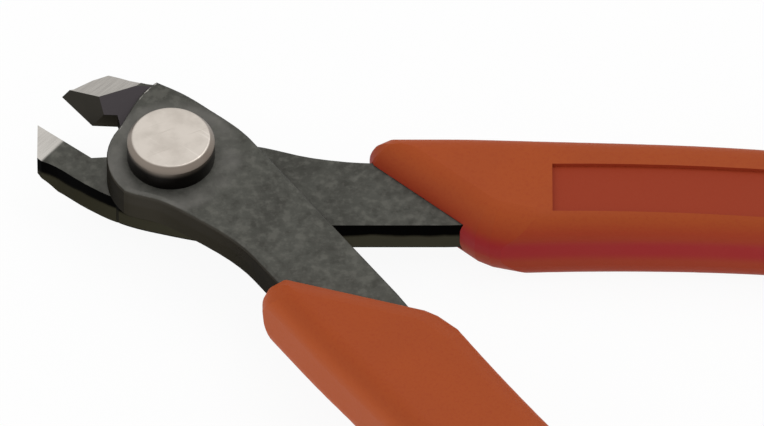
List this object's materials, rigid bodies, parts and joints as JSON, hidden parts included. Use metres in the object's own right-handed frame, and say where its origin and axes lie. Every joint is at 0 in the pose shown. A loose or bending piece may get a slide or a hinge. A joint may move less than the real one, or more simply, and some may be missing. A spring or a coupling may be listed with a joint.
{
  "type": "rail track cutter",
  "caption": "Hand shear with lapped flat steel blades on a rivet, short ground bypass jaws and moulded grips, for cutting model rail.",
  "frame": {"origin": "centre of the flat of the rivet's tail, on the pivot axis", "axes": "+Z along the pivot axis towards the rivet's head, +X along the handle of the back blade, away from the jaws"},
  "size_m": [0.1455, 0.1116, 0.0139],
  "materials": {
    "black_steel": "satin black oxide, ground bright at the jaws",
    "bright_steel": "polished, lightly scratched",
    "spring_wire": "drawn music wire",
    "grip_vinyl": "soft moulded vinyl, satin"
  },
  "bodies": {
    "back_half": {"back_blade": "black_steel", "upper_grip": "grip_vinyl", "pivot_rivet": "bright_steel", "return_spring": "spring_wire"},
    "front_half": {"front_blade": "black_steel", "lower_grip": "grip_vinyl"}
  },
  "joints": [
    {"name": "blade_pivot", "type": "hinge", "parent": "back_half", "child": "front_half", "pos_m": [0, 0, 0.00476], "axis": [0, 0, 1], "range_deg": [0, 20.5], "stiffness_Nm_per_rad": 0.25, "springref_deg": -11.46}
  ]
}
